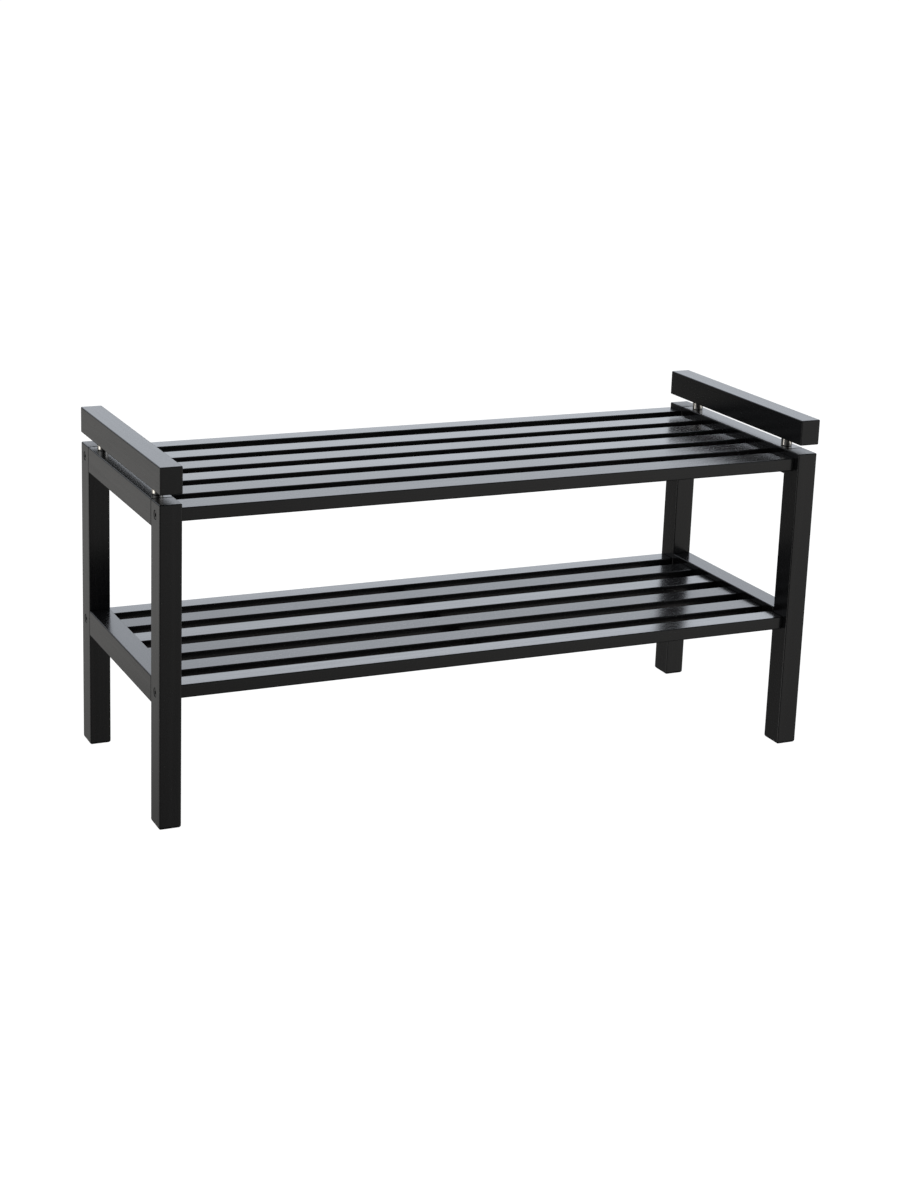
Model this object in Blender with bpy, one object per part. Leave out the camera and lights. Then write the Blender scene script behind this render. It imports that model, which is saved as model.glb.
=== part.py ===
"""Entryway bench: a slatted seat and a slatted shoe shelf between two end frames with raised handrails.

Metres, +Z up. The origin is on the floor under the middle of the bench. X runs along the bench,
Y runs across it with the front at -Y, and Z is up.
"""
import math

import bmesh
import bpy
from mathutils import Matrix

# Overall size. The handrails are a little longer than the frames that carry them
LENGTH = 1.000
HANDRAIL_LENGTH = 0.376
FRAME_DEPTH = 0.372
HEIGHT = 0.500

# End frames: legs, rails and handrails share one thickness along X
FRAME_THICKNESS = 0.031
LEG_DEPTH = 0.037
RAIL_HEIGHT = 0.037
LOWER_RAIL_TOP = 0.2065
HANDRAIL_HEIGHT = 0.0372
HANDRAIL_GAP = 0.0133
FRAME_HEIGHT = HEIGHT - HANDRAIL_HEIGHT - HANDRAIL_GAP
EDGE_EASE = 0.0016

# Slatted shelves. Widths, and the gaps between slats, run from the front to the rear
SLAT_THICKNESS = 0.0185
SEAT_TOP = FRAME_HEIGHT - 0.0080
SHELF_TOP = LOWER_RAIL_TOP - 0.0078
SEAT_SLAT_WIDTHS = (0.042, 0.041, 0.039, 0.039, 0.038, 0.0315)
SEAT_SLAT_GAPS = (0.025,) * 4 + (0.0315,)
SHELF_SLAT_WIDTHS = (0.0325,) + (0.0375,) * 4 + (0.031,)
SHELF_SLAT_GAPS = (0.0255,) + (0.0295,) * 4
FRONT_RECESS = 0.010

# Cross battens under the slats, with their ends cut back at a slant
BATTEN_WIDTH = 0.022
BATTEN_THICKNESS = 0.009
BATTEN_FRONT_END = -0.153
BATTEN_REAR_END = 0.178
BATTEN_END_CUT = 0.010
BATTEN_SIDE_GAP = 0.0005

# Handrail spacers and the bolts through them
SPACER_RADIUS = 0.008
SPACER_CHAMFER = 0.0004
SPACER_OFFSET = 0.128
HANDRAIL_BOLT_LENGTH = 0.070
HANDRAIL_BOLT_HEAD_RADIUS = 0.0055
HANDRAIL_BOLT_HEAD_HEIGHT = 0.004
HANDRAIL_BOLT_SINK = 0.002
HANDRAIL_BOLT_KEY = 0.004

# Countersunk frame bolts, through the legs into barrel nuts in the outer slats
BOLT_RADIUS = 0.003
BOLT_LENGTH = 0.070
BOLT_HEAD_RADIUS = 0.0060
BOLT_RIM = 0.0008
BOLT_SINK = 0.0005
BOLT_KEY = 0.005
KEY_DEPTH = 0.0032
TIP_CHAMFER = 0.0008
NUT_RADIUS = 0.005
NUT_LENGTH = 0.012
NUT_FROM_TIP = 0.010
NUT_SLOT_WIDTH = 0.0012
NUT_SLOT_DEPTH = 0.0010

# Dowels between legs and rails
DOWEL_RADIUS = 0.004
DOWEL_LENGTH = 0.030
DOWEL_IN_LEG = 0.0135
DOWEL_CHAMFER = 0.0008

# Space kept between pieces that touch
GAP = 0.0003
ROUND_SIDES = 16
SPACER_SIDES = 32
SMOOTH_ANGLE = math.radians(35)

FRAME_X = (LENGTH - FRAME_THICKNESS) / 2
LEG_Y = (FRAME_DEPTH - LEG_DEPTH) / 2
SLAT_LENGTH = LENGTH - 2 * FRAME_THICKNESS - 2 * GAP
RAIL_LENGTH = FRAME_DEPTH - 2 * LEG_DEPTH - 2 * GAP
SIDES = {"left": -1, "right": 1}
ENDS = {"front": -1, "rear": 1}
LEVELS = {"seat": SEAT_TOP, "shelf": SHELF_TOP}


# ---------------------------------------------------------------- scene and materials

def clear_scene():
    """Remove everything that a new file starts with."""
    for obj in list(bpy.data.objects):
        bpy.data.objects.remove(obj, do_unlink=True)


def finish(name, colour, roughness, metallic=0.0):
    """A plain Principled material."""
    material = bpy.data.materials.new(name)
    material.use_nodes = True
    shader = material.node_tree.nodes["Principled BSDF"]
    shader.inputs["Base Color"].default_value = (*colour, 1.0)
    shader.inputs["Roughness"].default_value = roughness
    shader.inputs["Metallic"].default_value = metallic
    return material


def make_finishes():
    """The bench's five finishes."""
    return {
        "lacquer": finish("black_lacquered_wood", (0.018, 0.018, 0.019), 0.30),
        "nickel": finish("polished_nickel", (0.76, 0.74, 0.71), 0.12, 1.0),
        "black_steel": finish("black_coated_steel", (0.025, 0.025, 0.027), 0.35),
        "zinc": finish("zinc_plated_steel", (0.60, 0.61, 0.63), 0.35, 1.0),
        "beech": finish("beech_dowel", (0.56, 0.38, 0.22), 0.70),
    }


def empty(name, location):
    """A named place that pieces are set out from."""
    place = bpy.data.objects.new(name, None)
    place.location = location
    bpy.context.collection.objects.link(place)
    return place


# ---------------------------------------------------------------- solids

def solid(name, shape, place, location, turn=None, material=None):
    """Turn a bmesh into an object set out from a place, and free the bmesh."""
    bmesh.ops.recalc_face_normals(shape, faces=shape.faces)
    mesh = bpy.data.meshes.new(name)
    shape.to_mesh(mesh)
    shape.free()
    obj = bpy.data.objects.new(name, mesh)
    bpy.context.collection.objects.link(obj)
    obj.parent = place
    obj.location = location
    if turn is not None:
        obj.rotation_euler = turn.to_euler()
    if material is not None:
        mesh.materials.append(material)
    return obj


def box_shape(size):
    """A sharp-edged box about the origin."""
    shape = bmesh.new()
    bmesh.ops.create_cube(shape, size=1.0)
    bmesh.ops.scale(shape, vec=size, verts=shape.verts)
    return shape


def bar(name, size, place, location, material):
    """A planed bar with every edge eased."""
    shape = box_shape(size)
    bmesh.ops.bevel(shape, geom=shape.edges[:], offset=EDGE_EASE, segments=1, affect="EDGES")
    return solid(name, shape, place, location, material=material)


def turned_shape(outline, sides):
    """Spin an outline of (radius, height) points about Z. An outline that leaves the axis is closed."""
    shape = bmesh.new()
    points = [shape.verts.new((radius, 0.0, height)) for radius, height in outline]
    wires = [shape.edges.new(pair) for pair in zip(points, points[1:])]
    if outline[0][0] > 0.0:
        wires.append(shape.edges.new((points[-1], points[0])))
    bmesh.ops.spin(shape, geom=points + wires, axis=(0, 0, 1), cent=(0, 0, 0),
                   steps=sides, angle=2 * math.pi, use_merge=True)
    bmesh.ops.remove_doubles(shape, verts=shape.verts, dist=1e-6)
    return shape


def shade_round(obj):
    """Smooth the turned faces and keep the corners crisp."""
    obj.data.shade_smooth()
    obj.data.set_sharp_from_angle(angle=SMOOTH_ANGLE)


def turned(name, outline, sides, place, location, turn, material):
    """A turned metal or wooden piece."""
    obj = solid(name, turned_shape(outline, sides), place, location, turn, material)
    shade_round(obj)
    return obj


def pointing(direction):
    """The turn that takes +Z to a row axis."""
    return {
        "+X": Matrix.Rotation(math.pi / 2, 4, "Y"),
        "-X": Matrix.Rotation(-math.pi / 2, 4, "Y"),
        "+Y": Matrix.Rotation(-math.pi / 2, 4, "X"),
        "-Z": Matrix.Rotation(math.pi, 4, "X"),
        "+Z": Matrix.Identity(4),
    }[direction]


# ---------------------------------------------------------------- cutters

def as_cutter(obj):
    """Hide a solid that only cuts others."""
    obj.hide_render = True
    obj.display_type = "WIRE"
    return obj


def cut(cutter, *targets):
    """Subtract a cutter from each target."""
    for target in targets:
        boolean = target.modifiers.new(cutter.name, "BOOLEAN")
        boolean.operation = "DIFFERENCE"
        boolean.solver = "EXACT"
        boolean.object = cutter


def key_socket(bolt, across_flats, place, location, turn):
    """Sink a hexagon socket into a bolt's head, whose face looks along the turned +Z."""
    corner = across_flats / math.sqrt(3)
    shape = turned_shape([(0, -KEY_DEPTH), (corner, -KEY_DEPTH), (corner, KEY_DEPTH), (0, KEY_DEPTH)], 6)
    cut(as_cutter(solid(f"cut_key_{bolt.name}", shape, place, location, turn)), bolt)


# ---------------------------------------------------------------- bolts, nuts and dowels

def countersunk_outline(clearance=0.0):
    """A countersunk bolt under its head face at Z = 0, or with clearance the hole that takes it."""
    head = BOLT_HEAD_RADIUS + clearance
    shank = BOLT_RADIUS + clearance
    rim = -BOLT_RIM - clearance * math.tan(math.pi / 8)
    tip = -BOLT_LENGTH - clearance
    mouth = BOLT_SINK + GAP if clearance else 0.0
    return [(0, tip), (shank - TIP_CHAMFER, tip), (shank, tip + TIP_CHAMFER),
            (shank, rim - (head - shank)), (head, rim), (head, mouth), (0, mouth)]


def pan_head_outline(clearance=0.0):
    """A cylinder-head bolt with its head face at Z = 0, or with clearance its counterbored hole."""
    head = HANDRAIL_BOLT_HEAD_RADIUS + clearance
    shank = BOLT_RADIUS + clearance
    shoulder = -HANDRAIL_BOLT_HEAD_HEIGHT - clearance
    tip = -HANDRAIL_BOLT_LENGTH - clearance
    mouth = HANDRAIL_BOLT_SINK + GAP if clearance else 0.0
    return [(0, tip), (shank - TIP_CHAMFER, tip), (shank, tip + TIP_CHAMFER),
            (shank, shoulder), (head, shoulder), (head, mouth), (0, mouth)]


def rod_outline(radius, length, chamfer):
    """A chamfered rod about the origin."""
    half = length / 2
    return [(0, -half), (radius - chamfer, -half), (radius, -half + chamfer),
            (radius, half - chamfer), (radius - chamfer, half), (0, half)]


def frame_bolt(level, end, side, place, leg, slat, finishes):
    """A countersunk bolt through a leg into the end of an outer slat, and its barrel nut."""
    outward = SIDES[side]
    y = ENDS[end] * LEG_Y
    z = LEVELS[level] - SLAT_THICKNESS / 2
    head = (outward * (LENGTH / 2 - BOLT_SINK), y, z)
    turn = pointing("+X" if outward > 0 else "-X")
    name = f"{level}_bolt_{end}_{side}"
    bolt = turned(name, countersunk_outline(), ROUND_SIDES, place, head, turn, finishes["black_steel"])
    key_socket(bolt, BOLT_KEY, place, head, turn)
    hole = solid(f"cut_{name}", turned_shape(countersunk_outline(GAP), ROUND_SIDES), place, head, turn)
    cut(as_cutter(hole), leg, slat)

    nut_x = outward * (LENGTH / 2 - BOLT_SINK - BOLT_LENGTH + NUT_FROM_TIP)
    nut_at = (nut_x, y, z)
    nut = turned(f"{level}_nut_{end}_{side}", rod_outline(NUT_RADIUS, NUT_LENGTH, TIP_CHAMFER / 2),
                 ROUND_SIDES, place, nut_at, None, finishes["zinc"])
    across = rod_outline(BOLT_RADIUS + GAP, 4 * NUT_RADIUS, 0.0005)
    thread = solid(f"cut_thread_{nut.name}", turned_shape(across, ROUND_SIDES), place, nut_at, turn)
    cut(as_cutter(thread), nut)
    slot = box_shape((NUT_SLOT_WIDTH, 4 * NUT_RADIUS, 2 * NUT_SLOT_DEPTH))
    slot_at = (nut_x, y, z - NUT_LENGTH / 2)
    cut(as_cutter(solid(f"cut_slot_{nut.name}", slot, place, slot_at)), nut)

    pocket_top = NUT_LENGTH / 2 + GAP
    pocket_mouth = -SLAT_THICKNESS / 2 - GAP
    pocket = turned_shape([(0, pocket_mouth), (NUT_RADIUS + GAP, pocket_mouth),
                           (NUT_RADIUS + GAP, pocket_top), (0, pocket_top)], ROUND_SIDES)
    cut(as_cutter(solid(f"cut_pocket_{nut.name}", pocket, place, nut_at)), slat)


def rail_dowel(level, end, side, place, rail_middle, leg, rail, material):
    """A dowel across the joint between a leg and a rail."""
    toward_leg = ENDS[end]
    joint = FRAME_DEPTH / 2 - LEG_DEPTH
    y = toward_leg * (joint + DOWEL_IN_LEG - DOWEL_LENGTH / 2)
    name = f"{level}_rail_dowel_{end}_{side}"
    at = (0, y, rail_middle)
    outline = rod_outline(DOWEL_RADIUS, DOWEL_LENGTH, DOWEL_CHAMFER)
    turned(name, outline, ROUND_SIDES, place, at, pointing("+Y"), material)
    hole = rod_outline(DOWEL_RADIUS + GAP, DOWEL_LENGTH + 2 * GAP, DOWEL_CHAMFER)
    cutter = solid(f"cut_{name}", turned_shape(hole, ROUND_SIDES), place, at, pointing("+Y"))
    cut(as_cutter(cutter), leg, rail)


# ---------------------------------------------------------------- end frames

def handrail_fixing(end, side, place, rail, handrail, finishes):
    """A spacer between rail and handrail, with the bolt that runs up through all three."""
    y = ENDS[end] * SPACER_OFFSET
    half = HANDRAIL_GAP / 2 - GAP
    bore = BOLT_RADIUS + GAP
    edge = SPACER_RADIUS - SPACER_CHAMFER
    tube = [(bore, -half), (edge, -half), (SPACER_RADIUS, -half + SPACER_CHAMFER),
            (SPACER_RADIUS, half - SPACER_CHAMFER), (edge, half), (bore, half)]
    turned(f"handrail_spacer_{end}_{side}", tube, SPACER_SIDES, place,
           (0, y, FRAME_HEIGHT + HANDRAIL_GAP / 2), None, finishes["nickel"])

    head = (0, y, FRAME_HEIGHT - RAIL_HEIGHT + HANDRAIL_BOLT_SINK)
    turn = pointing("-Z")
    name = f"handrail_bolt_{end}_{side}"
    bolt = turned(name, pan_head_outline(), ROUND_SIDES, place, head, turn, finishes["zinc"])
    key_socket(bolt, HANDRAIL_BOLT_KEY, place, head, turn)
    hole = solid(f"cut_{name}", turned_shape(pan_head_outline(GAP), ROUND_SIDES), place, head, turn)
    cut(as_cutter(hole), rail, handrail)


def end_frame(side, finishes):
    """Two legs, two rails and a raised handrail. Returns the place and the two legs."""
    wood = finishes["lacquer"]
    place = empty(f"frame_{side}", (SIDES[side] * FRAME_X, 0, 0))
    leg_size = (FRAME_THICKNESS, LEG_DEPTH, FRAME_HEIGHT)
    legs = {end: bar(f"leg_{end}_{side}", leg_size, place, (0, ENDS[end] * LEG_Y, FRAME_HEIGHT / 2), wood)
            for end in ENDS}
    rail_size = (FRAME_THICKNESS, RAIL_LENGTH, RAIL_HEIGHT)
    rails = {}
    for level, top in (("top", FRAME_HEIGHT), ("lower", LOWER_RAIL_TOP)):
        middle = top - RAIL_HEIGHT / 2
        rails[level] = bar(f"{level}_rail_{side}", rail_size, place, (0, 0, middle), wood)
        for end in ENDS:
            rail_dowel(level, end, side, place, middle, legs[end], rails[level], finishes["beech"])
    handrail = bar(f"handrail_{side}", (FRAME_THICKNESS, HANDRAIL_LENGTH, HANDRAIL_HEIGHT), place,
                   (0, 0, HEIGHT - HANDRAIL_HEIGHT / 2), wood)
    for end in ENDS:
        handrail_fixing(end, side, place, rails["top"], handrail, finishes)
    return legs


# ---------------------------------------------------------------- slatted shelves

def slat_rows(widths, gaps):
    """The middle of each slat across the bench."""
    front = -FRAME_DEPTH / 2 + FRONT_RECESS
    rows = []
    for width, gap in zip(widths, gaps + (0.0,)):
        rows.append(front + width / 2)
        front += width + gap
    return rows


def slatted_shelf(level, widths, gaps, material):
    """Lengthwise slats with three cross battens under them. Returns the front and rear slats."""
    place = empty(level, (0, 0, LEVELS[level]))
    slats = [bar(f"{level}_slat_{number}", (SLAT_LENGTH, width, SLAT_THICKNESS), place,
                 (0, middle, -SLAT_THICKNESS / 2), material)
             for number, (width, middle) in enumerate(zip(widths, slat_rows(widths, gaps)), 1)]
    side_x = LENGTH / 2 - FRAME_THICKNESS - BATTEN_SIDE_GAP - BATTEN_WIDTH / 2
    for where, x in (("left", -side_x), ("middle", 0.0), ("right", side_x)):
        batten(f"{level}_batten_{where}", x, place, material)
    return {"front": slats[0], "rear": slats[-1]}


def batten(name, x, place, material):
    """A flat batten across the slats' undersides, cut back at its ends so that it stays out of sight."""
    top = -SLAT_THICKNESS - GAP
    shape = box_shape((BATTEN_WIDTH, BATTEN_REAR_END - BATTEN_FRONT_END, BATTEN_THICKNESS))
    for vert in shape.verts:
        if vert.co.z < 0:
            vert.co.y -= math.copysign(BATTEN_END_CUT, vert.co.y)
    middle = (BATTEN_FRONT_END + BATTEN_REAR_END) / 2
    return solid(name, shape, place, (x, middle, top - BATTEN_THICKNESS / 2), material=material)


# ---------------------------------------------------------------- the bench

def main():
    clear_scene()
    finishes = make_finishes()
    legs = {side: end_frame(side, finishes) for side in SIDES}
    slats = {
        "seat": slatted_shelf("seat", SEAT_SLAT_WIDTHS, SEAT_SLAT_GAPS, finishes["lacquer"]),
        "shelf": slatted_shelf("shelf", SHELF_SLAT_WIDTHS, SHELF_SLAT_GAPS, finishes["lacquer"]),
    }
    fixings = empty("fixings", (0, 0, 0))
    for level in LEVELS:
        for side in SIDES:
            for end in ENDS:
                frame_bolt(level, end, side, fixings, legs[side][end], slats[level][end], finishes)


main()
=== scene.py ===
"""The looks of the slatted entryway bench: lacquered boards, turned fixings, studio and camera."""
import math
import random

import bmesh
import bpy
from mathutils import Matrix, Vector


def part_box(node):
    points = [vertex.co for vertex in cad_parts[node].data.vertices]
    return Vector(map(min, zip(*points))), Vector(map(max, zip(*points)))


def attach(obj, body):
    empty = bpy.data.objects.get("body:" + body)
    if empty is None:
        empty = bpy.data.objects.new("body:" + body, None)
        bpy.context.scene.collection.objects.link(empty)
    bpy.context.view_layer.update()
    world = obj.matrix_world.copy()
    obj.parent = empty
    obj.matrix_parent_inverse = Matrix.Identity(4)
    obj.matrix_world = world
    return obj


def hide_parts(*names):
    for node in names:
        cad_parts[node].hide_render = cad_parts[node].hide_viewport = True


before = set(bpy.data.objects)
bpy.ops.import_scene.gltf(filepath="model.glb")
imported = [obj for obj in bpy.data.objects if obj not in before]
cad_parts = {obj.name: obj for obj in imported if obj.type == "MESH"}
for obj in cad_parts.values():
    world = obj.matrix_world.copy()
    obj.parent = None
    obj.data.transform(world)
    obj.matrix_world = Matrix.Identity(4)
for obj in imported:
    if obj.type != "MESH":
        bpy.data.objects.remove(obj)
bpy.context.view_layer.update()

X, Y, Z = range(3)
SIDES = ("left", "right")
ENDS = ("front", "rear")
LEVELS = ("seat", "shelf")

# Boards
EDGE_RADIUS = 0.0016
EDGE_STEPS = 5
FOOT_ROUNDING = 0.0042
BATTEN_EDGE = 0.0006
BATTEN_EDGE_STEPS = 3

# Growth rings: where along its tree a board starts, and where the pith lies beside it
GRAIN_START = (0, 40)
PITH_SIDE = (-0.03, 0.03)
PITH_DEPTH = (0.035, 0.09)
RING_SPACING = 0.0034
RING_WANDER = 0.006

# Black lacquer: the coat's darker and lighter grain tones, the dust nibs in it and the chips on its edges
LACQUER_DARK = (0.0034, 0.0034, 0.0036, 1)
LACQUER_LIGHT = (0.0062, 0.0061, 0.0062, 1)
NIB_COLOUR = (0.022, 0.021, 0.020, 1)
CHIP_COLOUR = (0.095, 0.088, 0.078, 1)
RELIEF_DEPTH = 0.0001

# How much of a second coat of lacquer lies on a slat's top, from the front slat to the rear one
SLAT_POLISH = {
    "seat": (0.0, 0.10, 0.30, 0.22, 0.30, 0.24),
    "shelf": (0.58, 0.10, 0.0, 0.38, 0.0, 0.34),
}

# Bolts, nuts and spacers
M6_RADIUS = 0.0030
CLEARANCE = 0.0003
HEAD_RIM = 0.0008
HEAD_LIP = 0.0004
HEAD_CHAMFER = 0.0003
CYLINDER_HEAD = 0.0040
CYLINDER_CHAMFER = 0.0005
HEX_DEPTH = 0.0032
FRAME_BOLT_KEY = 0.0050
HANDRAIL_BOLT_KEY = 0.0040
TIP_CHAMFER = 0.0008
NUT_CHAMFER = 0.0004
NUT_SLOT = (0.0012, 0.0010)
SPACER_EDGE = 0.0005
SPACER_EDGE_STEPS = 4
ROUND_STEPS = 48
SHARP_ANGLE = math.radians(32)

# Wood screws that hold the slats to the battens
SCREW_HEAD_RADIUS = 0.0033
SCREW_RADIUS = 0.0015
SCREW_LENGTH = 0.018
SCREW_RIM = 0.0002
SCREW_RECESS = 0.0002
SCREW_END_MARGIN = 0.0045
SCREW_HOLE = 0.02
SCREW_HOLE_MOUTH = 0.001
SCREW_STEPS = 28
CROSS_SLOT = (0.0034, 0.0008, 0.0016)

# The camera stands in front of the bench, beyond its left end, and looks slightly down
CAMERA_PLACE = (-1.3299, -2.8369, 1.1936)
CAMERA_YAW = math.radians(24.177)
CAMERA_PITCH = math.radians(14.686)
CAMERA_ROLL = math.radians(1.798)
CAMERA_LENS = 66.806
CAMERA_SHIFT = (0.0284, -0.08525)

# Light from the surroundings above and below the horizon: soft round patches, each with its azimuth,
# elevation and width in degrees and its strength, over an even level
WALL_GLOWS = (
    (22, 15, 70, 1.48),
    (40, 40, 40, 0.55),
    (120, 18, 50, 0.5),
    (118, 14, 24, 1.1),
    (-95, 18, 55, 0.5),
)
GROUND_GLOWS = (
    (148, -6, 32, 0.63),
    (-84, -12, 39, 1.6),
    (118, -14, 24, 0.8),
    (-18, -15, 14, 0.51),
    (-35, -24, 22, 0.10),
)
WALL_LEVEL = 0.08
GROUND_LEVEL = 0.05
WALL_TINT = (0.87, 0.92, 1.0, 1)
GROUND_TINT = (1.0, 0.99, 0.965, 1)
HORIZON = (0.03, 0.18)
FLOOR_REACH = 40

dice = random.Random(20)


# ---------------------------------------------------------------- shader nodes

def add(tree, kind, inputs=None, **settings):
    """A shader node with its settings, and each input set to a value or linked to an output."""
    made = tree.nodes.new(kind)
    for name, value in settings.items():
        setattr(made, name, value)
    for name, value in (inputs or {}).items():
        if isinstance(value, bpy.types.NodeSocket):
            tree.links.new(value, made.inputs[name])
        else:
            made.inputs[name].default_value = value
    return made


def math_node(tree, operation, *values):
    """A Math node's result."""
    return add(tree, "ShaderNodeMath", dict(enumerate(values)), operation=operation).outputs[0]


def noise(tree, vector, stretch, detail=2.0, roughness=0.5):
    """Noise whose grains are one unit long in the stretched coordinates."""
    scaled = add(tree, "ShaderNodeVectorMath", {0: vector, 1: stretch}, operation="MULTIPLY").outputs[0]
    texture = add(tree, "ShaderNodeTexNoise",
                  {"Vector": scaled, "Scale": 1.0, "Detail": detail, "Roughness": roughness})
    return texture.outputs["Fac"]


def ramp(tree, value, low, high, to_low=0.0, to_high=1.0, smooth=True):
    """Map a value from one range onto another, with eased ends."""
    kind = "SMOOTHSTEP" if smooth else "LINEAR"
    return add(tree, "ShaderNodeMapRange",
               {"Value": value, "From Min": low, "From Max": high, "To Min": to_low, "To Max": to_high},
               interpolation_type=kind).outputs[0]


def blend_colours(tree, factor, first, second):
    """Mix two colours."""
    made = add(tree, "ShaderNodeMix", data_type="RGBA")
    for socket, value in zip((made.inputs[0], made.inputs[6], made.inputs[7]), (factor, first, second)):
        if isinstance(value, bpy.types.NodeSocket):
            tree.links.new(value, socket)
        else:
            socket.default_value = value
    return made.outputs[2]


def total(tree, *values):
    """The sum of several outputs."""
    result = values[0]
    for value in values[1:]:
        result = math_node(tree, "ADD", result, value)
    return result


def edge_and_top(tree):
    """Two masks from the surface's own normal: 1 on rounded edges, and 1 on faces that look up."""
    normal = add(tree, "ShaderNodeNewGeometry").outputs["Normal"]
    parts = add(tree, "ShaderNodeSeparateXYZ", {0: normal}).outputs
    sizes = [math_node(tree, "ABSOLUTE", part) for part in parts]
    flattest = math_node(tree, "MAXIMUM", math_node(tree, "MAXIMUM", sizes[X], sizes[Y]), sizes[Z])
    return ramp(tree, flattest, 0.99, 0.75), ramp(tree, parts[Z], 0.5, 0.95)


def new_material(name, **constants):
    """A material with its Principled shader, whose constant values sit on the shader's own sockets."""
    material = bpy.data.materials.new(name)
    material.use_nodes = True
    tree = material.node_tree
    shader = tree.nodes["Principled BSDF"]
    for socket, value in constants.items():
        shader.inputs[socket.replace("_", " ")].default_value = value
    return material, tree, shader


def connect(tree, shader, colour=None, roughness=None, height=None, bump=0.0):
    """Link what varies over the surface to its shader."""
    if colour is not None:
        tree.links.new(colour, shader.inputs["Base Color"])
    if roughness is not None:
        tree.links.new(roughness, shader.inputs["Roughness"])
    if height is not None:
        relief = add(tree, "ShaderNodeBump", {"Height": height, "Strength": 1.0, "Distance": bump})
        tree.links.new(relief.outputs["Normal"], shader.inputs["Normal"])


# ---------------------------------------------------------------- materials

def lacquered_wood():
    """Black lacquer over planed wood. Coordinates run along the grain, round a pith beside the board."""
    material, tree, shader = new_material("black_lacquered_wood", Coat_Roughness=0.18)
    board = add(tree, "ShaderNodeAttribute", attribute_name="board").outputs["Vector"]
    end = add(tree, "ShaderNodeAttribute", attribute_name="end").outputs["Fac"]
    polish = add(tree, "ShaderNodeAttribute", attribute_name="polish").outputs["Fac"]

    parts = add(tree, "ShaderNodeSeparateXYZ", {0: board}).outputs
    across = add(tree, "ShaderNodeCombineXYZ", {"Y": parts[Y], "Z": parts[Z]}).outputs[0]
    radius = add(tree, "ShaderNodeVectorMath", {0: across}, operation="LENGTH").outputs["Value"]
    wander = noise(tree, board, (3, 26, 26), 2.0)
    wavy = math_node(tree, "MULTIPLY_ADD", wander, RING_WANDER, radius)
    rings = math_node(tree, "SINE", math_node(tree, "MULTIPLY", wavy, 2 * math.pi / RING_SPACING))
    late_wood = ramp(tree, rings, -0.2, 1.0)

    fibres = noise(tree, board, (22, 900, 900), 3.0, 0.6)
    streaks = noise(tree, board, (4, 210, 210), 2.0)
    pores = ramp(tree, noise(tree, board, (95, 2300, 2300), 1.0), 0.64, 0.74)
    planing = noise(tree, board, (4, 22, 22), 1.0)
    orange_peel = noise(tree, board, (330, 330, 330), 1.0)
    nibs = ramp(tree, noise(tree, board, (520, 520, 520), 0.0), 0.80, 0.86)

    height = total(tree,
                   math_node(tree, "MULTIPLY", planing, 0.8),
                   math_node(tree, "MULTIPLY", streaks, 0.05),
                   math_node(tree, "MULTIPLY", late_wood, 0.008),
                   math_node(tree, "MULTIPLY", fibres, 0.003),
                   math_node(tree, "MULTIPLY", pores, -0.001),
                   math_node(tree, "MULTIPLY", orange_peel, 0.003),
                   math_node(tree, "MULTIPLY", nibs, 0.004))

    edge, top = edge_and_top(tree)
    chips = ramp(tree, noise(tree, board, (260, 620, 620), 3.0, 0.6), 0.66, 0.71)
    worn = math_node(tree, "MULTIPLY", edge, chips)
    grain = math_node(tree, "MULTIPLY_ADD", fibres, 0.6, math_node(tree, "MULTIPLY", late_wood, 0.4))
    wood = blend_colours(tree, grain, LACQUER_DARK, LACQUER_LIGHT)
    speckled = blend_colours(tree, nibs, wood, NIB_COLOUR)
    colour = blend_colours(tree, worn, speckled, CHIP_COLOUR)

    roughness = total(tree,
                      math_node(tree, "MULTIPLY_ADD", streaks, 0.06, 0.155),
                      math_node(tree, "MULTIPLY", fibres, 0.04),
                      math_node(tree, "MULTIPLY", pores, 0.08),
                      math_node(tree, "MULTIPLY", end, 0.10),
                      math_node(tree, "MULTIPLY", worn, 0.12))
    connect(tree, shader, colour, roughness, height, RELIEF_DEPTH)
    second_coat = math_node(tree, "MULTIPLY", polish, ramp(tree, streaks, 0.3, 0.7, 0.85, 1.15))
    tree.links.new(math_node(tree, "MULTIPLY", second_coat, top), shader.inputs["Coat Weight"])
    return material


def bare_wood(name, light, dark, axis):
    """Unfinished straight-grained wood along an axis."""
    material, tree, shader = new_material(name)
    place = add(tree, "ShaderNodeTexCoord").outputs["Object"]
    fibres = noise(tree, place, [30 if n == axis else 1100 for n in range(3)], 3.0)
    flecks = ramp(tree, noise(tree, place, [180 if n == axis else 1500 for n in range(3)], 1.0), 0.60, 0.72)
    grain = blend_colours(tree, fibres, (*light, 1), (*dark, 1))
    colour = blend_colours(tree, math_node(tree, "MULTIPLY", flecks, 0.5), grain, (0.26, 0.14, 0.07, 1))
    connect(tree, shader, colour, ramp(tree, fibres, 0.2, 0.8, 0.62, 0.80), fibres, 0.00008)
    return material


def plated_metal(name, base, tint, roughness, spread, marks):
    """Plated steel with turning marks round its axis and faint handling marks."""
    material, tree, shader = new_material(name, Metallic=1.0)
    place = add(tree, "ShaderNodeTexCoord").outputs["Object"]
    clouds = noise(tree, place, (160, 160, 160), 3.0)
    rings = noise(tree, place, (300, 300, 9000), 1.0)
    scuffs = ramp(tree, noise(tree, place, (900, 700, 250), 4.0, 0.7), 0.58, 0.75)
    colour = blend_colours(tree, clouds, (*base, 1), (*tint, 1))
    rough = total(tree,
                  math_node(tree, "MULTIPLY_ADD", clouds, spread, roughness),
                  math_node(tree, "MULTIPLY", scuffs, spread))
    connect(tree, shader, colour, rough, rings, marks)
    return material


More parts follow.
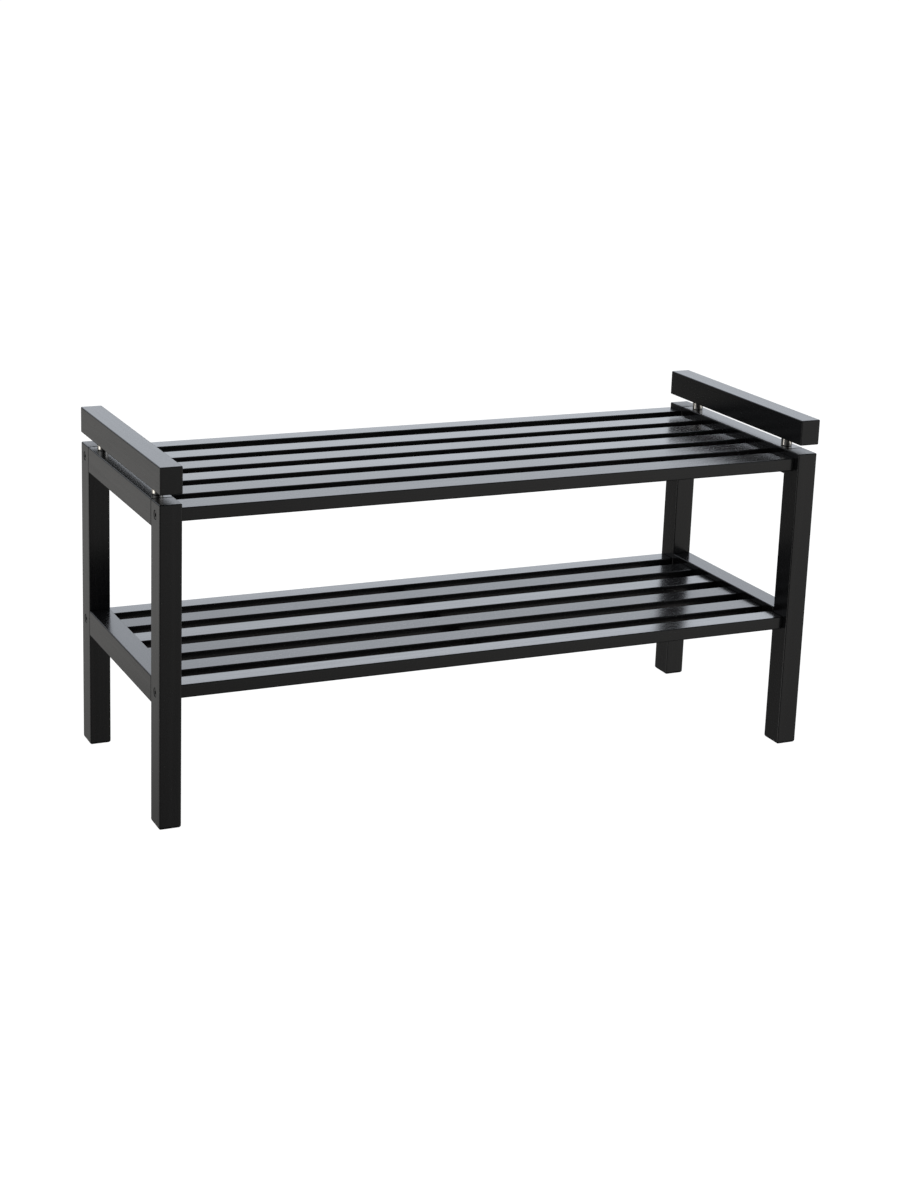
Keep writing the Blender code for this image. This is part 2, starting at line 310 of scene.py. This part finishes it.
def coated_steel():
    """Satin black coating on the frame bolts, worn towards bare steel in places."""
    material, tree, shader = new_material("black_coated_steel")
    place = add(tree, "ShaderNodeTexCoord").outputs["Object"]
    grit = noise(tree, place, (1900, 1900, 1900), 2.0)
    clouds = noise(tree, place, (420, 420, 420), 3.0)
    worn = ramp(tree, clouds, 0.60, 0.78)
    colour = blend_colours(tree, worn, (0.006, 0.006, 0.0065, 1), (0.035, 0.034, 0.033, 1))
    connect(tree, shader, colour, ramp(tree, clouds, 0.2, 0.8, 0.20, 0.36), grit, 0.00002)
    return material


MATERIALS = {
    "black_lacquered_wood": lacquered_wood(),
    "polished_nickel": plated_metal("polished_nickel", (0.80, 0.76, 0.70), (0.70, 0.67, 0.62),
                                    roughness=0.06, spread=0.08, marks=0.000004),
    "black_coated_steel": coated_steel(),
    "zinc_plated_steel": plated_metal("zinc_plated_steel", (0.62, 0.64, 0.67), (0.50, 0.52, 0.53),
                                      roughness=0.22, spread=0.16, marks=0.00001),
    "beech_dowel": bare_wood("beech_dowel", light=(0.62, 0.42, 0.25), dark=(0.50, 0.32, 0.17), axis=Y),
}


# ---------------------------------------------------------------- mesh tools

def new_piece(name, shape, slot):
    """Turn a bmesh into a piece in the row frame, and free the bmesh."""
    bmesh.ops.recalc_face_normals(shape, faces=shape.faces)
    mesh = bpy.data.meshes.new(name)
    shape.to_mesh(mesh)
    shape.free()
    piece = bpy.data.objects.new(name, mesh)
    bpy.context.scene.collection.objects.link(piece)
    mesh.materials.append(MATERIALS[slot])
    piece["slot"] = slot
    return piece


def spun(outline, steps=ROUND_STEPS):
    """Spin an outline of (radius, height) points about Z. An outline that leaves the axis is closed."""
    shape = bmesh.new()
    points = [shape.verts.new((radius, 0.0, height)) for radius, height in outline]
    wires = [shape.edges.new(pair) for pair in zip(points, points[1:])]
    if outline[0][0] > 0.0:
        wires.append(shape.edges.new((points[-1], points[0])))
    bmesh.ops.spin(shape, geom=points + wires, axis=(0, 0, 1), cent=(0, 0, 0),
                   steps=steps, angle=2 * math.pi, use_merge=True)
    bmesh.ops.remove_doubles(shape, verts=shape.verts, dist=1e-7)
    return shape


def block(size):
    """A sharp box about the origin, for cutting."""
    shape = bmesh.new()
    bmesh.ops.create_cube(shape, size=1.0)
    bmesh.ops.scale(shape, vec=size, verts=shape.verts)
    return shape


def placed(shape, place, facing=(0, 0, 1), turn=0.0):
    """Turn a shape about Z, point its +Z along a direction and move it to its place."""
    towards = Vector(facing).to_track_quat("Z", "Y").to_matrix().to_4x4()
    shape.transform(Matrix.Translation(place) @ towards @ Matrix.Rotation(turn, 4, "Z"))
    return shape


def joined(shapes):
    """One bmesh that holds several."""
    whole = bmesh.new()
    for shape in shapes:
        part = bpy.data.meshes.new("part")
        shape.to_mesh(part)
        shape.free()
        whole.from_mesh(part)
        bpy.data.meshes.remove(part)
    return whole


def carve(piece, shapes):
    """Cut shapes out of a piece for good."""
    for shape in shapes:
        cutter = new_piece("cutter", shape, piece["slot"])
        boolean = piece.modifiers.new("cut", "BOOLEAN")
        boolean.solver = "EXACT"
        boolean.object = cutter
        cut = bpy.data.meshes.new_from_object(piece.evaluated_get(bpy.context.evaluated_depsgraph_get()))
        piece.modifiers.remove(boolean)
        piece.data = cut
        bpy.data.objects.remove(cutter)
    return piece


def fasten(piece, *nodes):
    """Shade a finished piece, and have it ride on the bench in place of its CAD nodes."""
    piece.data.name = piece.name
    piece.data.shade_smooth()
    piece.data.set_sharp_from_angle(angle=SHARP_ANGLE)
    weights = piece.modifiers.new("face_normals", "WEIGHTED_NORMAL")
    weights.keep_sharp = True
    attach(piece, "root")
    if nodes:
        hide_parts(*nodes)
    return piece


# ---------------------------------------------------------------- boards

def rounded_box(low, high, radius):
    """A box between two corners with every edge rounded."""
    shape = bmesh.new()
    bmesh.ops.create_cube(shape, size=1.0)
    bmesh.ops.scale(shape, vec=high - low, verts=shape.verts)
    bmesh.ops.translate(shape, vec=(low + high) / 2, verts=shape.verts)
    bmesh.ops.bevel(shape, geom=shape.edges[:], offset=radius, segments=EDGE_STEPS, profile=0.5,
                    affect="EDGES")
    return shape


def round_foot(shape, low, high):
    """Give a leg's lower end a larger rounding than its other edges, by stretching what is there."""
    grow = FOOT_ROUNDING / EDGE_RADIUS
    middle, half = (low + high) / 2, (high - low) / 2
    for vertex in shape.verts:
        rise = vertex.co.z - low.z
        if rise < EDGE_RADIUS:
            inset = EDGE_RADIUS - math.sqrt(max(0.0, EDGE_RADIUS ** 2 - (EDGE_RADIUS - rise) ** 2))
            for axis in (X, Y):
                narrow = (half[axis] - inset * grow) / (half[axis] - inset)
                vertex.co[axis] = middle[axis] + (vertex.co[axis] - middle[axis]) * narrow
            vertex.co.z = low.z + rise * grow


def mark_grain(piece, along, polish=0.0):
    """Store each point's place in its board: along the grain, and across it from the pith."""
    low = Vector([min(v.co[n] for v in piece.data.vertices) for n in range(3)])
    high = Vector([max(v.co[n] for v in piece.data.vertices) for n in range(3)])
    middle = (low + high) / 2
    across = [n for n in range(3) if n != along]
    start = dice.uniform(*GRAIN_START)
    pith = (dice.uniform(*PITH_SIDE), dice.choice((-1, 1)) * dice.uniform(*PITH_DEPTH))
    half = (high - low)[along] / 2
    places, ends = [], []
    for vertex in piece.data.vertices:
        offset = vertex.co - middle
        places += (offset[along] + start, offset[across[0]] + pith[0], offset[across[1]] + pith[1])
        reach = (abs(offset[along]) - half + EDGE_RADIUS) / EDGE_RADIUS
        ends.append(min(1.0, max(0.0, reach)))
    piece.data.attributes.new("board", "FLOAT_VECTOR", "POINT").data.foreach_set("vector", places)
    piece.data.attributes.new("end", "FLOAT", "POINT").data.foreach_set("value", ends)
    piece.data.attributes.new("polish", "FLOAT", "POINT").data.foreach_set("value", [polish] * len(ends))


def board(node, along, holes=(), foot=False, polish=0.0):
    """A planed and lacquered board in place of a CAD node."""
    low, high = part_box(node)
    shape = rounded_box(low, high, EDGE_RADIUS)
    if foot:
        round_foot(shape, low, high)
    piece = carve(new_piece(f"{node}_board", shape, "black_lacquered_wood"), holes)
    mark_grain(piece, along, polish)
    return fasten(piece, node)


# ---------------------------------------------------------------- holes, taken from the fixings they hold

def bolt_line(node, along):
    """A bolt's axis: the middle of its head's face, the way it faces, its length and its head's radius."""
    low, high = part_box(node)
    middle = (low + high) / 2
    outward = 1 if middle[along] > 0 else -1
    if along == Z:
        outward = -1
    face = middle.copy()
    face[along] = high[along] if outward > 0 else low[along]
    facing = Vector([outward if n == along else 0 for n in range(3)])
    across = [n for n in range(3) if n != along]
    return face, facing, (high - low)[along], (high - low)[across[0]] / 2


def hole_mouth(wide, sink):
    """The end of a hole's outline, with a small worn lip where it meets the board's surface."""
    return [(wide, sink - HEAD_LIP), (wide + 2 * HEAD_LIP, sink + HEAD_LIP), (0, sink + HEAD_LIP)]


def countersink(length, head, sink):
    """A countersunk hole's outline."""
    bore = M6_RADIUS + CLEARANCE
    wide = head + CLEARANCE
    return [(0, -length - CLEARANCE), (bore, -length - CLEARANCE), (bore, -HEAD_RIM - (wide - bore)),
            (wide, -HEAD_RIM), *hole_mouth(wide, sink)]


def counterbore(length, head, sink):
    """A flat-bottomed hole's outline."""
    bore = M6_RADIUS + CLEARANCE
    wide = head + CLEARANCE
    return [(0, -length - CLEARANCE), (bore, -length - CLEARANCE), (bore, -CYLINDER_HEAD - CLEARANCE),
            (wide, -CYLINDER_HEAD - CLEARANCE), *hole_mouth(wide, sink)]


def bolt_hole(node, surface, along, outline):
    """The hole that a bolt lies in, with its mouth at the board's surface."""
    face, facing, length, head = bolt_line(node, along)
    return placed(spun(outline(length, head, abs(surface - face[along]))), face, facing)


def handrail_bolt_holes(side):
    """The holes that both handrail bolts of one end lie in."""
    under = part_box(f"top_rail_{side}")[0].z
    return [bolt_hole(f"handrail_bolt_{end}_{side}", under, Z, counterbore) for end in ENDS]


def nut_hole(level, end, side):
    """A barrel nut's blind hole, drilled up from a slat's underside."""
    low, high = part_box(f"{level}_nut_{end}_{side}")
    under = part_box(outer_slat(level, end))[0].z
    middle = (low + high) / 2
    radius = (high.x - low.x) / 2 + CLEARANCE
    top = high.z + CLEARANCE
    outline = [(0, under - HEAD_LIP), (radius + 2 * HEAD_LIP, under - HEAD_LIP), (radius, under + HEAD_LIP),
               (radius, top), (0, top + radius / 4)]
    return placed(spun(outline), (middle.x, middle.y, 0))


def outer_slat(level, end):
    """The slat that the frame bolts hold."""
    return f"{level}_slat_{1 if end == 'front' else 6}"


# ---------------------------------------------------------------- fixings

def hexagon(across_flats, depth):
    """A hexagon socket cutter with a drilled point, its mouth at Z = 0."""
    corner = across_flats / math.sqrt(3)
    return spun([(0, -depth - corner / 2), (corner, -depth), (corner, depth), (0, depth)], 6)


def bolt_tip(length):
    """The start of a bolt's outline: its chamfered tip."""
    return [(0, -length), (M6_RADIUS - TIP_CHAMFER, -length), (M6_RADIUS, -length + TIP_CHAMFER)]


def frame_bolt(node):
    """A countersunk bolt with a hexagon socket."""
    face, facing, length, head = bolt_line(node, X)
    cone = HEAD_RIM + head - M6_RADIUS
    outline = [*bolt_tip(length), (M6_RADIUS, -cone), (head, -HEAD_RIM),
               (head, -HEAD_CHAMFER), (head - HEAD_CHAMFER, 0), (0, 0)]
    turn = dice.uniform(0, math.pi / 3)
    piece = new_piece(f"{node}_fine", placed(spun(outline), face, facing, turn), "black_coated_steel")
    carve(piece, [placed(hexagon(FRAME_BOLT_KEY, HEX_DEPTH), face, facing, turn)])
    return fasten(piece, node)


def handrail_bolt(node):
    """A cylinder-head bolt with a hexagon socket, facing down."""
    face, facing, length, head = bolt_line(node, Z)
    outline = [*bolt_tip(length), (M6_RADIUS, -CYLINDER_HEAD), (head, -CYLINDER_HEAD),
               (head, -CYLINDER_CHAMFER), (head - CYLINDER_CHAMFER, 0), (0, 0)]
    turn = dice.uniform(0, math.pi / 3)
    piece = new_piece(f"{node}_fine", placed(spun(outline), face, facing, turn), "zinc_plated_steel")
    carve(piece, [placed(hexagon(HANDRAIL_BOLT_KEY, HEX_DEPTH), face, facing, turn)])
    return fasten(piece, node)


def barrel_nut(node):
    """A barrel nut, cross-bored for its bolt and slotted at its lower end."""
    low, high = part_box(node)
    middle = (low + high) / 2
    half = (high.z - low.z) / 2
    radius = (high.x - low.x) / 2
    rim = radius - NUT_CHAMFER
    outline = [(0, -half), (rim, -half), (radius, -half + NUT_CHAMFER),
               (radius, half - NUT_CHAMFER), (rim, half), (0, half)]
    piece = new_piece(f"{node}_fine", placed(spun(outline), middle), "zinc_plated_steel")
    bore = M6_RADIUS + CLEARANCE
    thread = placed(spun([(0, -2 * radius), (bore, -2 * radius), (bore, 2 * radius), (0, 2 * radius)]),
                    middle, (1, 0, 0))
    width, depth = NUT_SLOT
    slot = placed(block((width, 4 * radius, 2 * depth)), middle - Vector((0, 0, half)))
    carve(piece, [thread, slot])
    return fasten(piece, node)


def spacer(node):
    """A polished tube with softened ends."""
    low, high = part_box(node)
    middle = (low + high) / 2
    half = (high.z - low.z) / 2
    radius = (high.x - low.x) / 2
    bore = M6_RADIUS + CLEARANCE
    angles = [step * math.pi / 2 / SPACER_EDGE_STEPS for step in range(SPACER_EDGE_STEPS + 1)]
    corner = [(radius - SPACER_EDGE * (1 - math.sin(angle)), half - SPACER_EDGE * (1 - math.cos(angle)))
              for angle in angles]
    lower = [(r, -z) for r, z in reversed(corner)]
    outline = [(bore, half)] + corner + lower + [(bore, -half)]
    piece = new_piece(f"{node}_fine", placed(spun(outline), middle), "polished_nickel")
    return fasten(piece, node)


# ---------------------------------------------------------------- battens and their screws

def screw_places(level, batten):
    """Where a batten's screws sit in its underside: below each slat's middle, or as near as it reaches."""
    low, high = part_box(batten)
    cut = flat_end(batten)
    for number in range(1, 7):
        slat_low, slat_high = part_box(f"{level}_slat_{number}")
        y = (slat_low.y + slat_high.y) / 2
        y = min(max(y, low.y + cut + SCREW_END_MARGIN), high.y - cut - SCREW_END_MARGIN)
        yield Vector(((low.x + high.x) / 2, y, low.z))


def flat_end(batten):
    """How far a batten's ends are cut back at its underside."""
    low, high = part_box(batten)
    under = [v.co.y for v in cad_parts[batten].data.vertices if v.co.z < low.z + 1e-5]
    return min(under) - low.y


def screw(place, turn):
    """A countersunk wood screw with a cross recess, as a closed shape."""
    cone = SCREW_HEAD_RADIUS - SCREW_RADIUS
    outline = [(0, -SCREW_LENGTH), (SCREW_RADIUS, -SCREW_LENGTH + 3 * SCREW_RADIUS), (SCREW_RADIUS, -cone),
               (SCREW_HEAD_RADIUS, -SCREW_RIM), (SCREW_HEAD_RADIUS - SCREW_RIM, 0), (0, 0)]
    return placed(spun(outline, SCREW_STEPS), place + Vector((0, 0, SCREW_RECESS)), (0, 0, -1), turn)


def cross_recess(place, turn):
    """The two crossed slots of a screw's recess."""
    seat = place + Vector((0, 0, SCREW_RECESS))
    long, wide, deep = CROSS_SLOT
    return [placed(block((long, wide, 2 * deep)), seat, (0, 0, -1), turn + quarter)
            for quarter in (0, math.pi / 2)]


def batten(level, where):
    """A batten with slanted ends, countersunk from below for its screws."""
    node = f"{level}_batten_{where}"
    low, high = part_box(node)
    cut = flat_end(node)
    shape = block(high - low)
    bmesh.ops.translate(shape, vec=(low + high) / 2, verts=shape.verts)
    for vertex in shape.verts:
        if vertex.co.z < (low.z + high.z) / 2:
            vertex.co.y += cut if vertex.co.y < 0 else -cut
    bmesh.ops.bevel(shape, geom=shape.edges[:], offset=BATTEN_EDGE, segments=BATTEN_EDGE_STEPS, profile=0.5,
                    affect="EDGES")
    piece = new_piece(f"{node}_board", shape, "black_lacquered_wood")
    places = list(screw_places(level, node))
    bore = SCREW_RADIUS + CLEARANCE
    wide = SCREW_HEAD_RADIUS + CLEARANCE
    hole = [(0, -SCREW_HOLE), (bore, -SCREW_HOLE), (bore, bore - wide), (wide, 0),
            (wide, SCREW_HOLE_MOUTH), (0, SCREW_HOLE_MOUTH)]
    carve(piece, [placed(spun(hole, SCREW_STEPS), place + Vector((0, 0, SCREW_RECESS)), (0, 0, -1))
                  for place in places])
    mark_grain(piece, Y)
    fasten(piece, node)

    turns = [dice.uniform(0, math.pi / 2) for place in places]
    screws_at = list(zip(places, turns))
    screws = new_piece(f"{node}_screws", joined(screw(*at) for at in screws_at), "zinc_plated_steel")
    carve(screws, [slot for at in screws_at for slot in cross_recess(*at)])
    fasten(screws)


# ---------------------------------------------------------------- the bench

def build_frames():
    """Both end frames with their handrails."""
    for side in SIDES:
        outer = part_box(f"leg_front_{side}")[1 if side == "right" else 0].x
        for end in ENDS:
            holes = [bolt_hole(f"{level}_bolt_{end}_{side}", outer, X, countersink) for level in LEVELS]
            board(f"leg_{end}_{side}", Z, holes, foot=True)
        board(f"top_rail_{side}", Y, handrail_bolt_holes(side))
        board(f"lower_rail_{side}", Y)
        board(f"handrail_{side}", Y, handrail_bolt_holes(side))
        for end in ENDS:
            spacer(f"handrail_spacer_{end}_{side}")
            handrail_bolt(f"handrail_bolt_{end}_{side}")


def build_level(level):
    """The seat or the shelf: slats, battens and the fixings in the outer slats."""
    for number in range(1, 7):
        holes = []
        for end in ENDS:
            if outer_slat(level, end) == f"{level}_slat_{number}":
                holes = [nut_hole(level, end, side) for side in SIDES]
                holes += [bolt_hole(f"{level}_bolt_{end}_{side}", 0, X, countersink) for side in SIDES]
        board(f"{level}_slat_{number}", X, holes, polish=SLAT_POLISH[level][number - 1])
    for where in ("left", "middle", "right"):
        batten(level, where)
    for side in SIDES:
        for end in ENDS:
            frame_bolt(f"{level}_bolt_{end}_{side}")
            barrel_nut(f"{level}_nut_{end}_{side}")


def finish_hidden_nodes():
    """The dowels keep their CAD shape and take their own wood."""
    for name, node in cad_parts.items():
        if "_dowel_" in name:
            node.data.materials.clear()
            node.data.materials.append(MATERIALS["beech_dowel"])


# ---------------------------------------------------------------- studio

def direction(azimuth, elevation):
    """A unit vector. Azimuth 0 is +Y and turns towards +X."""
    a, e = math.radians(azimuth), math.radians(elevation)
    return (math.sin(a) * math.cos(e), math.cos(a) * math.cos(e), math.sin(e))


def glow(tree, look, azimuth, elevation, width, strength):
    """A soft round patch of light in the surroundings."""
    nearness = add(tree, "ShaderNodeVectorMath", {0: look, 1: direction(azimuth, elevation)},
                   operation="DOT_PRODUCT").outputs["Value"]
    angle = math_node(tree, "ARCCOSINE", nearness)
    return ramp(tree, angle, math.radians(width), 0.0, 0.0, strength)


def surroundings():
    """Bright walls behind the bench and at its sides, and less light from overhead, in front and below."""
    world = bpy.data.worlds.new("studio")
    bpy.context.scene.world = world
    world.use_nodes = True
    tree = world.node_tree
    look = add(tree, "ShaderNodeTexCoord").outputs["Generated"]
    up = add(tree, "ShaderNodeSeparateXYZ", {0: look}).outputs[Z]
    walls = total(tree, *[glow(tree, look, *patch) for patch in WALL_GLOWS], WALL_LEVEL)
    ground = total(tree, *[glow(tree, look, *patch) for patch in GROUND_GLOWS], GROUND_LEVEL)
    above = ramp(tree, up, *HORIZON)
    light = blend_colours(tree, above, ground, walls)
    tint = blend_colours(tree, above, GROUND_TINT, WALL_TINT)
    lit = add(tree, "ShaderNodeVectorMath", {0: light, 1: tint}, operation="MULTIPLY").outputs[0]
    seen = add(tree, "ShaderNodeLightPath").outputs["Is Camera Ray"]
    background = tree.nodes["Background"]
    tree.links.new(blend_colours(tree, seen, lit, (1, 1, 1, 1)), background.inputs["Color"])


def floor():
    """A plain white floor. Gloss doesn't mirror it: what shines from below is in the surroundings."""
    shape = bmesh.new()
    bmesh.ops.create_grid(shape, x_segments=1, y_segments=1, size=FLOOR_REACH)
    mesh = bpy.data.meshes.new("floor")
    shape.to_mesh(mesh)
    shape.free()
    plane = bpy.data.objects.new("floor", mesh)
    bpy.context.scene.collection.objects.link(plane)
    material, tree, shader = new_material("pale_floor", Roughness=1.0)
    shader.inputs["Base Color"].default_value = (0.15, 0.15, 0.15, 1)
    shader.inputs["Specular IOR Level"].default_value = 0.0
    shader.inputs["Emission Color"].default_value = (1, 1, 1, 1)
    shader.inputs["Emission Strength"].default_value = 1.0
    mesh.materials.append(material)
    plane.visible_glossy = False


def softbox(name, place, target, size, power):
    """A large soft lamp aimed at a point."""
    lamp = bpy.data.lights.new(name, "AREA")
    lamp.shape = "RECTANGLE"
    lamp.size, lamp.size_y = size
    lamp.energy = power
    holder = bpy.data.objects.new(name, lamp)
    holder.location = place
    holder.rotation_euler = (Vector(target) - Vector(place)).to_track_quat("-Z", "Y").to_euler()
    holder.visible_camera = False
    holder.visible_glossy = False
    bpy.context.scene.collection.objects.link(holder)


def camera():
    """A portrait camera at eye height for someone sitting."""
    lens = bpy.data.cameras.new("camera")
    lens.lens = CAMERA_LENS
    lens.sensor_width = 36
    lens.shift_x, lens.shift_y = CAMERA_SHIFT
    holder = bpy.data.objects.new("camera", lens)
    holder.matrix_world = (Matrix.Translation(CAMERA_PLACE) @ Matrix.Rotation(-CAMERA_YAW, 4, "Z")
                           @ Matrix.Rotation(math.pi / 2 - CAMERA_PITCH, 4, "X")
                           @ Matrix.Rotation(CAMERA_ROLL, 4, "Z"))
    bpy.context.scene.collection.objects.link(holder)
    bpy.context.scene.camera = holder


camera()
surroundings()
floor()
softbox("overhead_softbox", (-0.4, -0.6, 2.6), (0, 0, 0.3), (2.4, 1.6), 30)
bpy.context.scene.view_settings.view_transform = "Standard"

build_frames()
for level in LEVELS:
    build_level(level)
finish_hidden_nodes()
